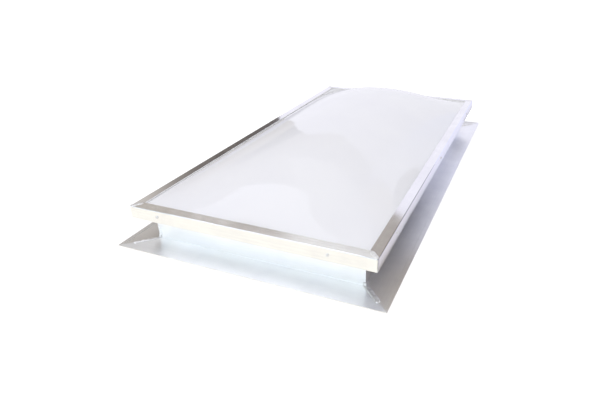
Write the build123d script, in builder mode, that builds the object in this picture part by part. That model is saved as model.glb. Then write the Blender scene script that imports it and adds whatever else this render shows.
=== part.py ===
"""Fixed roof skylight: a welded aluminium curb with a roof flange, a white dome and a screwed-on cap frame.

Millimetres. X is the width, +Y runs along the length to the back and +Z is up.
The origin lies on the roof deck, below the middle of the unit.
Sections are drawn in (outward, up), outward being measured from the curb's inner face.
"""

import os
from dataclasses import dataclass

from build123d import *

# Clear roof opening inside the curb
OPENING_WIDTH = 571.5
OPENING_LENGTH = 1181.1

# Curb extrusion: roof flange, upstand, condensation gutter, dome seat and screw leg
CURB_WALL = 2.0
FLANGE_REACH = 73.0
FLANGE_EDGE_WIDTH = 10.0
FLANGE_EDGE_RISE = 1.0
FLANGE_ROOT_RADIUS = 2.0
SEAT_HEIGHT = 96.0
GUTTER_WIDTH = 14.0
GUTTER_DEPTH = 8.0
SCREW_LEG_DEPTH = 18.0
WEEP_DIAMETER = 5.0
WEEP_STATION_SHARES = (-0.25, 0.25)

# Cap frame: mitred angle rails over the dome's rim
CAP_OVERHANG = 40.0
CAP_WALL = 2.0
CAP_BAND_WIDTH = 26.0
CAP_BAND_RISE = 1.7
CAP_SKIRT_DEPTH = 33.0
CAP_EDGE_RADIUS = 2.0
CAP_FIT_GAP = 0.5
CAP_MITRE_GAP = 1.2

# Soft strips that the dome's rim is clamped between
BEDDING_WIDTH = 16.0
BEDDING_THICKNESS = 3.0
BEDDING_SET_BACK = 4.0
SEAL_WIDTH = 12.0
SEAL_THICKNESS = 2.0
SEAL_LIP_SET_BACK = 0.5
SEAL_LIP_LIFT = 1.6

# Dome: one thermoformed sheet with a flat rim and a low crown
DOME_SHEET = 4.0
DOME_CROWN_RISE = 100.0
DOME_SPRING_SET_BACK = 2.0
DOME_EXPANSION_GAP = 3.0
DOME_RIM_CORNER_RADIUS = 12.0

# Weld beads
FLANGE_WELD_WIDTH = 12.0
FLANGE_WELD_HEIGHT = 1.8
FLANGE_WELD_END_MARGIN = 24.0
FLANGE_WELD_CLIMB = 10.0
FLANGE_WELD_CLIMB_WIDTH = 8.0
UPSTAND_WELD_LEG = 4.0
UPSTAND_WELD_HOLLOW_SHARE = 0.125
CAP_WELD_WIDTH = 12.0
CAP_WELD_HEIGHT = 1.0
CAP_WELD_ROOT = 0.5
CAP_WELD_END_MARGIN = 1.0
WELD_SIDE_SLOPE_DEG = 40
WELD_CLIMB_SLOPE_DEG = 10

# Cap screws: pan heads, two on a short side and three on a long one.
# The pair on a short rail is drilled a little off its middle, the same way round on both rails.
SCREW_HEAD_DIAMETER = 7.4
SCREW_HEAD_HEIGHT = 2.4
SCREW_HEAD_EDGE = 1.2
SCREW_SHANK_DIAMETER = 4.2
SCREW_SHANK_LENGTH = 12.0
SCREW_TIP_LENGTH = 3.0
SCREW_SKIRT_CLEARANCE = 0.4
SCREW_LEG_CLEARANCE = 0.1
SCREW_END_MARGIN_SHORT = 99.0
SCREW_END_MARGIN_LONG = 145.0
SCREW_OFFSET_SHORT = 16.0
SCREWS_ON_SHORT_SIDE = 2
SCREWS_ON_LONG_SIDE = 3

# How far cutting tools run past what they cut
OVERRUN = 1.0

# Places across the section that several pieces share
FLANGE_EDGE = CURB_WALL + FLANGE_REACH
CAP_FACE = CURB_WALL + CAP_OVERHANG
CAP_INSIDE = CAP_FACE - CAP_WALL
CAP_LIP = CAP_FACE - CAP_BAND_WIDTH
LEG_FACE = CAP_INSIDE - CAP_FIT_GAP
GUTTER_EDGE = CURB_WALL + GUTTER_WIDTH
DOME_SPRING = CAP_LIP + DOME_SPRING_SET_BACK
DOME_RIM_EDGE = CAP_INSIDE - DOME_EXPANSION_GAP
BEDDING_INNER = CAP_LIP + BEDDING_SET_BACK
SEAL_LIP = CAP_LIP + SEAL_LIP_SET_BACK

# Heights that several pieces share
GUTTER_FLOOR = SEAT_HEIGHT - GUTTER_DEPTH
DOME_UNDERSIDE = SEAT_HEIGHT + BEDDING_THICKNESS
DOME_RIM_TOP = DOME_UNDERSIDE + DOME_SHEET
CAP_TOP = DOME_RIM_TOP + SEAL_THICKNESS + CAP_WALL
SKIRT_BOTTOM = CAP_TOP - CAP_SKIRT_DEPTH
SCREW_HEIGHT = CAP_TOP - CAP_SKIRT_DEPTH / 2

UP = Vector(0, 0, 1)


@dataclass(frozen=True)
class Side:
    """One side of the frame: where its inner face stands, which way it faces out and how it is screwed."""

    name: str
    outward: Vector
    reach: float
    run: float
    screw_count: int
    screw_margin: float
    screw_offset: float

    @property
    def along(self):
        """Direction along the side, so that (outward, up, along) is right-handed."""
        return self.outward.cross(UP)

    def section(self):
        """Plane square to the side at its middle, x outward and y up, on the inner face at the deck."""
        return Plane(origin=self.outward * self.reach, x_dir=self.outward, z_dir=self.along)

    def face(self, outward, height):
        """Plane facing out at that distance from the inner face, centred on the side at that height."""
        origin = self.outward * (self.reach + outward) + UP * height
        return Plane(origin=origin, x_dir=self.along, z_dir=self.outward)

    def mitre(self, end):
        """The 45 degree plane at one end, +1 or -1, facing away from the length that is kept."""
        corner = self.outward * self.reach + self.along * (end * self.run / 2)
        return Plane(origin=corner, z_dir=self.along * end - self.outward)

    def screw_stations(self):
        """Distances of the evenly spaced screws from the side's middle."""
        half_span = self.run / 2 + CAP_FACE - self.screw_margin
        spaces = self.screw_count - 1
        shares = [2 * index / spaces - 1 for index in range(self.screw_count)]
        return [self.screw_offset + half_span * share for share in shares]


SHORT_SCREWS = (SCREWS_ON_SHORT_SIDE, SCREW_END_MARGIN_SHORT, SCREW_OFFSET_SHORT)
LONG_SCREWS = (SCREWS_ON_LONG_SIDE, SCREW_END_MARGIN_LONG, 0)
SHORT_SIDE = (OPENING_LENGTH / 2, OPENING_WIDTH, *SHORT_SCREWS)
LONG_SIDE = (OPENING_WIDTH / 2, OPENING_LENGTH, *LONG_SCREWS)
SIDES = (
    Side("front", Vector(0, -1, 0), *SHORT_SIDE),
    Side("back", Vector(0, 1, 0), *SHORT_SIDE),
    Side("left", Vector(-1, 0, 0), *LONG_SIDE),
    Side("right", Vector(1, 0, 0), *LONG_SIDE),
)

# Corner names with the signs of their X and Y
CORNERS = (
    ("front_left", -1, -1),
    ("front_right", 1, -1),
    ("back_left", -1, 1),
    ("back_right", 1, 1),
)


def corner_point(sign_x, sign_y, outward, height):
    """Point on a corner's mitre plane, that far outward from both inner faces."""
    return Vector(
        sign_x * (OPENING_WIDTH / 2 + outward),
        sign_y * (OPENING_LENGTH / 2 + outward),
        height,
    )


def cap_underside(outward):
    """Height of the cap band's underside, which rises evenly from the skirt to the lip."""
    return CAP_TOP - CAP_WALL + CAP_BAND_RISE * (CAP_FACE - outward) / CAP_BAND_WIDTH


def write(builder, name):
    """Label a finished piece and write it to its own file."""
    builder.part.label = name
    export_step(builder.part, f"parts/{name}.step")


os.makedirs("parts", exist_ok=True)

# Curb lengths, one extruded section with mitred ends
CURB_OUTLINE = (
    (0, 0),
    (FLANGE_EDGE, 0),
    (FLANGE_EDGE, CURB_WALL + FLANGE_EDGE_RISE),
    (FLANGE_EDGE - FLANGE_EDGE_WIDTH, CURB_WALL + FLANGE_EDGE_RISE),
    (FLANGE_EDGE - FLANGE_EDGE_WIDTH - FLANGE_EDGE_RISE, CURB_WALL),
    (CURB_WALL, CURB_WALL),
    (CURB_WALL, GUTTER_FLOOR - CURB_WALL),
    (GUTTER_EDGE + CURB_WALL, GUTTER_FLOOR - CURB_WALL),
    (GUTTER_EDGE + CURB_WALL, SEAT_HEIGHT - CURB_WALL),
    (LEG_FACE - CURB_WALL, SEAT_HEIGHT - CURB_WALL),
    (LEG_FACE - CURB_WALL, SEAT_HEIGHT - SCREW_LEG_DEPTH),
    (LEG_FACE, SEAT_HEIGHT - SCREW_LEG_DEPTH),
    (LEG_FACE, SEAT_HEIGHT),
    (GUTTER_EDGE, SEAT_HEIGHT),
    (GUTTER_EDGE, GUTTER_FLOOR),
    (CURB_WALL, GUTTER_FLOOR),
    (CURB_WALL, SEAT_HEIGHT),
    (0, SEAT_HEIGHT),
)

curbs = []
for side in SIDES:
    with BuildPart() as curb:
        with BuildSketch(side.section()) as curb_section:
            with BuildLine():
                Polyline(*CURB_OUTLINE, close=True)
            make_face()
            root = curb_section.vertices().sort_by_distance((CURB_WALL, CURB_WALL))[0]
            fillet(root, FLANGE_ROOT_RADIUS)
        extrude(amount=side.run / 2 + FLANGE_EDGE, both=True)
        for end in (-1, 1):
            split(bisect_by=side.mitre(end), keep=Keep.BOTTOM)
        # Holes that the cap screws bite into
        with BuildSketch(side.face(LEG_FACE, SCREW_HEIGHT)):
            with Locations(*[(station, 0) for station in side.screw_stations()]):
                Circle((SCREW_SHANK_DIAMETER + SCREW_LEG_CLEARANCE) / 2)
        extrude(amount=-CURB_WALL - OVERRUN, mode=Mode.SUBTRACT)
        # Weep holes that drain the gutter to the outside, under the overhang
        gutter_middle = side.outward * (side.reach + CURB_WALL + GUTTER_WIDTH / 2)
        with BuildSketch(Plane(origin=gutter_middle + UP * GUTTER_FLOOR, x_dir=side.along)):
            with Locations(*[(share * side.run, 0) for share in WEEP_STATION_SHARES]):
                Circle(WEEP_DIAMETER / 2)
        extrude(amount=-CURB_WALL - OVERRUN, mode=Mode.SUBTRACT)
    curbs.append(curb.part)
    write(curb, f"curb_{side.name}")

# Weld beads on the flange mitres: each climbs a little way up the upstand's corner and stops short of the tip
FLANGE_WELD_END = FLANGE_EDGE - FLANGE_WELD_END_MARGIN - FLANGE_WELD_WIDTH / 2

for corner, sign_x, sign_y in CORNERS:
    weld_start = corner_point(sign_x, sign_y, CURB_WALL, CURB_WALL)
    weld_end = corner_point(sign_x, sign_y, FLANGE_WELD_END, CURB_WALL)
    weld_run = weld_end - weld_start
    with BuildPart() as flange_weld:
        with BuildSketch(Plane(origin=(weld_start + weld_end) / 2, x_dir=weld_run)):
            SlotCenterToCenter(weld_run.length, FLANGE_WELD_WIDTH)
        extrude(amount=FLANGE_WELD_HEIGHT, taper=WELD_SIDE_SLOPE_DEG)
        with BuildSketch(Plane(origin=weld_start)):
            Circle(FLANGE_WELD_CLIMB_WIDTH / 2)
        extrude(amount=FLANGE_WELD_CLIMB, taper=WELD_CLIMB_SLOPE_DEG)
        # The bead lies on the curb's outside only
        add(curbs, mode=Mode.SUBTRACT)
        with BuildSketch(Plane.XY.offset(CURB_WALL)):
            Rectangle(OPENING_WIDTH, OPENING_LENGTH)
        extrude(amount=FLANGE_WELD_CLIMB, mode=Mode.SUBTRACT)
    write(flange_weld, f"flange_weld_{corner}")

# Fillet welds up the inside of the upright corner seams
for corner, sign_x, sign_y in CORNERS:
    seam = corner_point(sign_x, sign_y, 0, 0)
    toe_x = (seam.X - sign_x * UPSTAND_WELD_LEG, seam.Y)
    toe_y = (seam.X, seam.Y - sign_y * UPSTAND_WELD_LEG)
    with BuildPart() as upstand_weld:
        with BuildSketch(Plane.XY.offset(CURB_WALL)):
            with BuildLine():
                Polyline(toe_x, (seam.X, seam.Y), toe_y)
                SagittaArc(toe_y, toe_x, -sign_x * sign_y * UPSTAND_WELD_LEG * UPSTAND_WELD_HOLLOW_SHARE)
            make_face()
        extrude(amount=GUTTER_FLOOR - CURB_WALL - CURB_WALL)
    write(upstand_weld, f"upstand_weld_{corner}")

# Bedding tapes on the seat, under the dome's rim
BEDDING_OUTLINE = (
    (BEDDING_INNER, SEAT_HEIGHT),
    (BEDDING_INNER + BEDDING_WIDTH, SEAT_HEIGHT),
    (BEDDING_INNER + BEDDING_WIDTH, DOME_UNDERSIDE),
    (BEDDING_INNER, DOME_UNDERSIDE),
)

# Seals on the rim, whose tops follow the slope of the cap's band.
# Each has a lip that reaches in under the band, lifted clear of the crown's slope.
SEAL_OUTLINE = (
    (DOME_SPRING, DOME_RIM_TOP),
    (DOME_SPRING + SEAL_WIDTH, DOME_RIM_TOP),
    (DOME_SPRING + SEAL_WIDTH, cap_underside(DOME_SPRING + SEAL_WIDTH)),
    (SEAL_LIP, cap_underside(SEAL_LIP)),
    (SEAL_LIP, DOME_RIM_TOP + SEAL_LIP_LIFT),
)

for strip_name, strip_outline in (("bedding_tape", BEDDING_OUTLINE), ("cap_seal", SEAL_OUTLINE)):
    for side in SIDES:
        with BuildPart() as strip:
            with BuildSketch(side.section()):
                with BuildLine():
                    Polyline(*strip_outline, close=True)
                make_face()
            extrude(amount=side.run / 2 + CAP_FACE, both=True)
            for end in (-1, 1):
                split(bisect_by=side.mitre(end), keep=Keep.BOTTOM)
        write(strip, f"{strip_name}_{side.name}")

# Dome: a flat rim, and a crown that is a parabola across and a quartic along.
# Both curves are exact as one patch whose control points stand at these shares of the crown's size.
CROWN_ACROSS_SHARES = (-1, 0, 1)
CROWN_ACROSS_RISE_SHARES = (0, 2, 0)
CROWN_ALONG_SHARES = (-1, -0.5, 0, 0.5, 1)
CROWN_ALONG_RISE_SHARES = (0, 2, 0, 2, 0)
CROWN_HALF_WIDTH = OPENING_WIDTH / 2 + DOME_SPRING
CROWN_HALF_LENGTH = OPENING_LENGTH / 2 + DOME_SPRING


def crown_patch(spring_height):
    """The crown's surface, springing from a flat rectangle at that height."""
    rows = []
    for across_share, across_rise in zip(CROWN_ACROSS_SHARES, CROWN_ACROSS_RISE_SHARES):
        row = []
        for along_share, along_rise in zip(CROWN_ALONG_SHARES, CROWN_ALONG_RISE_SHARES):
            rise = DOME_CROWN_RISE * across_rise * along_rise
            x = CROWN_HALF_WIDTH * across_share
            y = CROWN_HALF_LENGTH * along_share
            row.append(Vector(x, y, spring_height + rise))
        rows.append(row)
    return Face.make_bezier_surface(rows)


def crown_solid():
    """The crown between its outer and inner surfaces, with upright sides where it meets the rim."""
    outer = crown_patch(DOME_RIM_TOP)
    inner = crown_patch(DOME_UNDERSIDE)
    corners = [(-1, -1), (1, -1), (1, 1), (-1, 1)]
    walls = []
    for (x0, y0), (x1, y1) in zip(corners, corners[1:] + corners[:1]):
        start = Vector(x0 * CROWN_HALF_WIDTH, y0 * CROWN_HALF_LENGTH, DOME_UNDERSIDE)
        stop = Vector(x1 * CROWN_HALF_WIDTH, y1 * CROWN_HALF_LENGTH, DOME_UNDERSIDE)
        lift = UP * DOME_SHEET
        walls.append(Face(Wire.make_polygon([start, stop, stop + lift, start + lift])))
    return Solid(Shell([outer, inner, *walls]))


crown = crown_solid()

with BuildPart() as dome:
    with BuildSketch(Plane.XY.offset(DOME_UNDERSIDE)):
        RectangleRounded(
            OPENING_WIDTH + 2 * DOME_RIM_EDGE,
            OPENING_LENGTH + 2 * DOME_RIM_EDGE,
            DOME_RIM_CORNER_RADIUS,
        )
        Rectangle(2 * CROWN_HALF_WIDTH, 2 * CROWN_HALF_LENGTH, mode=Mode.SUBTRACT)
    extrude(amount=DOME_SHEET)
    add(crown)
write(dome, "dome")

# Cap rails, mitred angle lengths clamped over the rim and screwed through their skirts.
# Their saw-cut ends stand a little apart, and only the top of each seam is welded.
CAP_OUTLINE = (
    (CAP_FACE, SKIRT_BOTTOM),
    (CAP_FACE, CAP_TOP),
    (CAP_LIP, CAP_TOP + CAP_BAND_RISE),
    (CAP_LIP, cap_underside(CAP_LIP)),
    (CAP_INSIDE, cap_underside(CAP_INSIDE)),
    (CAP_INSIDE, SKIRT_BOTTOM),
)

cap_rails = []
for side in SIDES:
    with BuildPart() as cap_rail:
        with BuildSketch(side.section()) as cap_section:
            with BuildLine():
                Polyline(*CAP_OUTLINE, close=True)
            make_face()
            outer_edge = cap_section.vertices().sort_by_distance((CAP_FACE, CAP_TOP))[0]
            fillet(outer_edge, CAP_EDGE_RADIUS)
        extrude(amount=side.run / 2 + CAP_FACE, both=True)
        for end in (-1, 1):
            split(bisect_by=side.mitre(end).offset(-CAP_MITRE_GAP / 2), keep=Keep.BOTTOM)
        with BuildSketch(side.face(CAP_FACE, SCREW_HEIGHT)):
            with Locations(*[(station, 0) for station in side.screw_stations()]):
                Circle((SCREW_SHANK_DIAMETER + SCREW_SKIRT_CLEARANCE) / 2)
        extrude(amount=-CAP_WALL - OVERRUN, mode=Mode.SUBTRACT)
    cap_rails.append(cap_rail.part)
    write(cap_rail, f"cap_rail_{side.name}")

# Weld beads over the cap's top mitres, bedded on the rails on both sides of the seam
CAP_WELD_START = CAP_LIP + CAP_WELD_WIDTH / 2 + CAP_WELD_END_MARGIN
CAP_WELD_END = CAP_FACE - CAP_WELD_WIDTH / 2 - CAP_WELD_END_MARGIN

for corner, sign_x, sign_y in CORNERS:
    seam_in = corner_point(sign_x, sign_y, CAP_WELD_START, CAP_WALL + cap_underside(CAP_WELD_START))
    seam_out = corner_point(sign_x, sign_y, CAP_WELD_END, CAP_WALL + cap_underside(CAP_WELD_END))
    seam_line = seam_out - seam_in
    across = UP.cross(seam_line)
    weld_plane = Plane(
        origin=(seam_in + seam_out) / 2,
        x_dir=seam_line,
        z_dir=seam_line.cross(across),
    )
    with BuildPart() as cap_weld:
        with BuildSketch(weld_plane.offset(-CAP_WELD_ROOT)):
            SlotCenterToCenter(seam_line.length, CAP_WELD_WIDTH)
        extrude(amount=CAP_WELD_ROOT + CAP_WELD_HEIGHT, taper=WELD_SIDE_SLOPE_DEG)
        add(cap_rails, mode=Mode.SUBTRACT)
    write(cap_weld, f"cap_weld_{corner}")

# Cap screws: one pan-head screw, head up, then a copy facing out at every station
HEAD_RADIUS = SCREW_HEAD_DIAMETER / 2
SHANK_RADIUS = SCREW_SHANK_DIAMETER / 2

with BuildPart() as screw:
    with BuildSketch(Plane.XZ) as screw_section:
        with BuildLine():
            Polyline(
                (0, SCREW_HEAD_HEIGHT),
                (0, -SCREW_SHANK_LENGTH),
                (SHANK_RADIUS, SCREW_TIP_LENGTH - SCREW_SHANK_LENGTH),
                (SHANK_RADIUS, 0),
                (HEAD_RADIUS, 0),
                (HEAD_RADIUS, SCREW_HEAD_HEIGHT),
                close=True,
            )
        make_face()
        head_edge = screw_section.vertices().sort_by_distance((HEAD_RADIUS, SCREW_HEAD_HEIGHT))[0]
        chamfer(head_edge, SCREW_HEAD_EDGE)
    revolve(axis=Axis.Z)

screw_places = []
for side in SIDES:
    skirt = side.face(CAP_FACE, SCREW_HEIGHT)
    for station in side.screw_stations():
        screw_places.append(skirt.location * Location((station, 0, 0)))

with BuildPart() as cap_screws:
    with Locations(*screw_places):
        add(screw.part)
write(cap_screws, "cap_screws")
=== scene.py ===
"""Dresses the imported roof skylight: a welded aluminium curb, a white dome and a screwed-on cap frame.

X is the width, +Y runs to the back and +Z is up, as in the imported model. The object's sizes are written in
millimetres, as in the part's source, and turned to metres where a mesh is made. The studio is in metres.
"""

import logging
import math
from dataclasses import dataclass
from enum import Enum
from typing import Sequence

import bpy
from mathutils import Matrix, Vector, noise


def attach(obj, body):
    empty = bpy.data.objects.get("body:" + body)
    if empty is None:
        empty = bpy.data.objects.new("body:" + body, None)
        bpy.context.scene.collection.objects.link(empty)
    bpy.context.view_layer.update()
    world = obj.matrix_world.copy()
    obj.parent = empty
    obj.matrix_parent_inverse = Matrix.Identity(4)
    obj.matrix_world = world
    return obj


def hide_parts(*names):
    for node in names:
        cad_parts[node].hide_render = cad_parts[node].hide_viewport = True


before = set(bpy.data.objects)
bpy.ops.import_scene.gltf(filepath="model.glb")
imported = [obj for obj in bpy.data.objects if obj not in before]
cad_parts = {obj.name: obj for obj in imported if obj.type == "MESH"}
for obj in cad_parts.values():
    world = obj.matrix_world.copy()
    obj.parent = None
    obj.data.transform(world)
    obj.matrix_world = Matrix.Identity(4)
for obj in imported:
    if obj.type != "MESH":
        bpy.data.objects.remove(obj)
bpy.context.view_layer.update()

MM = 0.001
IMAGE_WIDTH = 600
UP = Vector((0.0, 0.0, 1.0))
# Faces that meet at a larger angle than this keep a crisp edge between them
CRISP_EDGE_DEG = 50.0
# A bead's round end is blunt by this much, in mm, so that no cross-section is a single point
BLUNT_END = 0.05

log = logging.getLogger("skylight")

Colour = tuple[float, float, float, float]
Rows = list[list[Vector]]
Faces = list[tuple[int, ...]]
Outline = Sequence[tuple[float, float]]


class Axis(Enum):
    """The frame's axes, with their places in a vector."""

    X = 0
    Y = 1
    Z = 2


class Run(Enum):
    """The way that a length was drawn through its die, which is the way its lines run."""

    ALONG_X = 0
    ALONG_Y = 1


class Side(Enum):
    """The four sides of the frame, with the direction that each faces."""

    FRONT = (0, -1)
    BACK = (0, 1)
    LEFT = (-1, 0)
    RIGHT = (1, 0)

    @property
    def label(self) -> str:
        """The side's name as the nodes have it."""
        return self.name.lower()

    @property
    def outward(self) -> Vector:
        """Unit vector out of the frame."""
        return Vector((*self.value, 0.0))

    @property
    def run(self) -> Run:
        """The way that this side's lengths run."""
        return Run.ALONG_X if self.value[0] == 0 else Run.ALONG_Y


class Corner(Enum):
    """The four corners of the frame, with the signs of their X and Y."""

    FRONT_LEFT = (-1, -1)
    FRONT_RIGHT = (1, -1)
    BACK_LEFT = (-1, 1)
    BACK_RIGHT = (1, 1)

    @property
    def label(self) -> str:
        """The corner's name as the nodes have it."""
        return self.name.lower()

    @property
    def outward(self) -> Vector:
        """Unit vector along the mitre, out of the frame."""
        return Vector((*self.value, 0.0)).normalized()

    @property
    def across(self) -> Vector:
        """Unit vector square to the mitre, level."""
        return UP.cross(self.outward)


def linear(hex_colour: str) -> Colour:
    """Turn an sRGB hex colour to linear light.

    Args:
        hex_colour: Six hex digits after a number sign.

    Returns:
        Red, green, blue and an alpha of one.
    """
    parts = [int(hex_colour[i : i + 2], 16) / 255 for i in (1, 3, 5)]
    light = [c / 12.92 if c <= 0.04045 else ((c + 0.055) / 1.055) ** 2.4 for c in parts]
    return (light[0], light[1], light[2], 1.0)


def add_node(
    tree: bpy.types.NodeTree,
    kind: str,
    settings: dict | None = None,
    links: dict | None = None,
    stops: Sequence[tuple[float, Colour]] = (),
) -> bpy.types.Node:
    """Add one node with its settings and links.

    Args:
        tree: The tree that gets the node.
        kind: Blender's name of the node's type.
        settings: Values by property name, or by socket name or number.
        links: Output sockets by the name or number of the input that each feeds.
        stops: Places and colours of a ramp's stops.

    Returns:
        The new node.
    """
    node = tree.nodes.new(kind)
    for key, value in (settings or {}).items():
        if isinstance(key, str) and hasattr(node, key):
            setattr(node, key, value)
        else:
            node.inputs[key].default_value = value
    for key, source in (links or {}).items():
        tree.links.new(source, node.inputs[key])
    for index, (place, colour) in enumerate(stops):
        elements = node.color_ramp.elements
        element = elements[index] if index < len(elements) else elements.new(place)
        element.position = place
        element.color = colour
    return node


def new_material(name: str) -> tuple[bpy.types.Material, bpy.types.NodeTree, bpy.types.NodeSocket]:
    """Start a material with a tree that holds only the coordinates that patterns are drawn by.

    Args:
        name: The material's name.

    Returns:
        The material, its tree and the place on the object, in metres.
    """
    material = bpy.data.materials.new(name)
    material.use_nodes = True
    tree = material.node_tree
    tree.nodes.clear()
    return material, tree, add_node(tree, "ShaderNodeTexCoord").outputs["Object"]


def closed_sheet(top: Rows, bottom: Rows) -> tuple[list[Vector], Faces]:
    """Close two matching grids of points into one solid skin.

    Args:
        top: Rows of points on the upper face.
        bottom: As many rows on the lower face.

    Returns:
        The points and the faces, which all look out or all look in.
    """
    row_count, column_count = len(top), len(top[0])
    points = [p for row in top for p in row] + [p for row in bottom for p in row]
    lower = row_count * column_count
    faces: Faces = []
    for i in range(row_count - 1):
        for j in range(column_count - 1):
            a = i * column_count + j
            b, c, d = a + 1, a + column_count + 1, a + column_count
            faces.append((a, d, c, b))
            faces.append((lower + a, lower + b, lower + c, lower + d))
    rim = list(range(column_count))
    rim += [i * column_count + column_count - 1 for i in range(1, row_count)]
    rim += [(row_count - 1) * column_count + j for j in range(column_count - 2, -1, -1)]
    rim += [i * column_count for i in range(row_count - 2, 0, -1)]
    for a, b in zip(rim, rim[1:] + rim[:1]):
        faces.append((a, b, lower + b, lower + a))
    return points, faces


def enclosed_volume(points: Sequence[Vector], faces: Faces) -> float:
    """Work out the volume that a closed skin encloses.

    Args:
        points: The skin's points in metres.
        faces: The skin's faces as point numbers.

    Returns:
        The volume in cubic metres, negative where the faces look inward.
    """
    sixfold = 0.0
    for face in faces:
        first = points[face[0]]
        for second, third in zip(face[1:], face[2:]):
            sixfold += first.dot(points[second].cross(points[third]))
    return sixfold / 6


def make_piece(
    name: str,
    points: Sequence[Vector],
    faces: Faces,
    material: bpy.types.Material,
    replaced: str,
) -> bpy.types.Object:
    """Make one shown piece that stands for a CAD node and rides on its body.

    Args:
        name: The piece's name.
        points: The mesh's points in metres.
        faces: The mesh's faces as point numbers, which are turned round where they look inward.
        material: The finish.
        replaced: The CAD node that this piece stands for.

    Returns:
        The new object.
    """
    mesh = bpy.data.meshes.new(name)
    mesh.from_pydata([tuple(p) for p in points], [], faces)
    mesh.validate()
    if enclosed_volume(points, faces) < 0:
        mesh.flip_normals()
    mesh.shade_smooth()
    mesh.set_sharp_from_angle(angle=math.radians(CRISP_EDGE_DEG))
    mesh.materials.append(material)
    piece = bpy.data.objects.new(name, mesh)
    bpy.context.scene.collection.objects.link(piece)
    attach(piece, "root")
    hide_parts(replaced)
    log.info("%s stands for %s: %d faces", name, replaced, len(faces))
    return piece


def dress_node(node: str, material: bpy.types.Material) -> None:
    """Give a CAD node that is shown as it is its finish.

    Args:
        node: The node's name.
        material: The finish.
    """
    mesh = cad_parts[node].data
    mesh.materials.clear()
    mesh.materials.append(material)
    log.info("%s dressed in %s", node, material.name)


@dataclass(frozen=True)
class MillAluminium:
    """Aluminium as it leaves the extrusion press: a bright metal with fine drawn lines and a slight haze.

    The lines spread what is mirrored square to the length, so it looks soft that way and crisp along it.
    """

    piece: str
    run: Run
    smooth: float
    rough: float
    bright: str = "#F8F8F7"
    dull: str = "#EDEDEE"
    # Real die lines are about 0.2 mm apart, too fine for the render, so they are drawn coarser
    line_spacing_mm: float = 2.2
    line_length_mm: float = 420.0
    line_depth_mm: float = 0.1
    # How much the lines count beside the haze
    line_share: float = 0.6
    haze_mm: float = 70.0
    # A drawn wall is never quite flat, so straight things that it mirrors waver a little
    wave_mm: float = 160.0
    wave_depth_mm: float = 0.6
    # Lines and haze together turn the metal from dull and smooth to bright and rough between these
    mark_low: float = 0.55
    mark_high: float = 1.05
    directional: float = 0.7
    # Level faces get walked on and wiped, so they are rougher than the upright ones by this much
    level_wear: float = 0.0

    def roughness(self, tree: bpy.types.NodeTree, marks: bpy.types.NodeSocket) -> bpy.types.NodeSocket:
        """Turn the marks to roughness, with the wear of the level faces added.

        Args:
            tree: The material's tree.
            marks: The lines and the haze together.

        Returns:
            The roughness.
        """
        roughness = add_node(
            tree,
            "ShaderNodeMapRange",
            {
                "From Min": self.mark_low,
                "From Max": self.mark_high,
                "To Min": self.smooth,
                "To Max": self.rough,
            },
            {"Value": marks},
        ).outputs["Result"]
        if self.level_wear == 0:
            return roughness
        facing = add_node(tree, "ShaderNodeNewGeometry").outputs["Normal"]
        upward = add_node(tree, "ShaderNodeSeparateXYZ", links={"Vector": facing}).outputs["Z"]
        level = add_node(tree, "ShaderNodeMath", {"operation": "ABSOLUTE"}, {0: upward}).outputs["Value"]
        return add_node(
            tree,
            "ShaderNodeMath",
            {"operation": "MULTIPLY_ADD", 1: self.level_wear},
            {0: level, 2: roughness},
        ).outputs["Value"]

    def material(self) -> bpy.types.Material:
        """Build the finish.

        Returns:
            The material.
        """
        along_x = self.run is Run.ALONG_X
        material, tree, place = new_material(f"mill_finish_aluminium_{self.piece}_{self.run.name.lower()}")
        across, along = 1 / (self.line_spacing_mm * MM), 1 / (self.line_length_mm * MM)
        stretch = (along, across, across) if along_x else (across, along, across)
        stretched = add_node(tree, "ShaderNodeMapping", {"Scale": stretch}, {"Vector": place})
        lines = add_node(
            tree,
            "ShaderNodeTexNoise",
            {"Scale": 1.0, "Detail": 3.0, "Roughness": 0.6},
            {"Vector": stretched.outputs["Vector"]},
        ).outputs["Fac"]
        haze = add_node(
            tree,
            "ShaderNodeTexNoise",
            {"Scale": 1 / (self.haze_mm * MM), "Detail": 4.0, "Roughness": 0.6},
            {"Vector": place},
        ).outputs["Fac"]
        wave = add_node(
            tree, "ShaderNodeTexNoise", {"Scale": 1 / (self.wave_mm * MM), "Detail": 0.0}, {"Vector": place}
        ).outputs["Fac"]
        marks = add_node(
            tree,
            "ShaderNodeMath",
            {"operation": "MULTIPLY_ADD", 1: self.line_share},
            {0: lines, 2: haze},
        ).outputs["Value"]
        colour = add_node(
            tree,
            "ShaderNodeValToRGB",
            links={"Fac": marks},
            stops=[(self.mark_low, linear(self.dull)), (1.0, linear(self.bright))],
        ).outputs["Color"]
        waved = add_node(
            tree,
            "ShaderNodeBump",
            {"Strength": 0.25, "Distance": self.wave_depth_mm * MM},
            {"Height": wave},
        ).outputs["Normal"]
        lined = add_node(
            tree,
            "ShaderNodeBump",
            {"Strength": 0.12, "Distance": self.line_depth_mm * MM},
            {"Height": lines, "Normal": waved},
        ).outputs["Normal"]
        # Reflections spread square to the lines, on the level faces and on the upright ones
        square = (0.0, 1.0, 1.0) if along_x else (1.0, 0.0, 1.0)
        spread = add_node(tree, "ShaderNodeCombineXYZ", dict(zip("XYZ", square))).outputs["Vector"]
        shader = add_node(
            tree,
            "ShaderNodeBsdfPrincipled",
            {"Metallic": 1.0, "Anisotropic": self.directional},
            {
                "Base Color": colour,
                "Roughness": self.roughness(tree, marks),
                "Normal": lined,
                "Tangent": spread,
            },
        ).outputs["BSDF"]
        add_node(tree, "ShaderNodeOutputMaterial", links={"Surface": shader})
        return material


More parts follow.
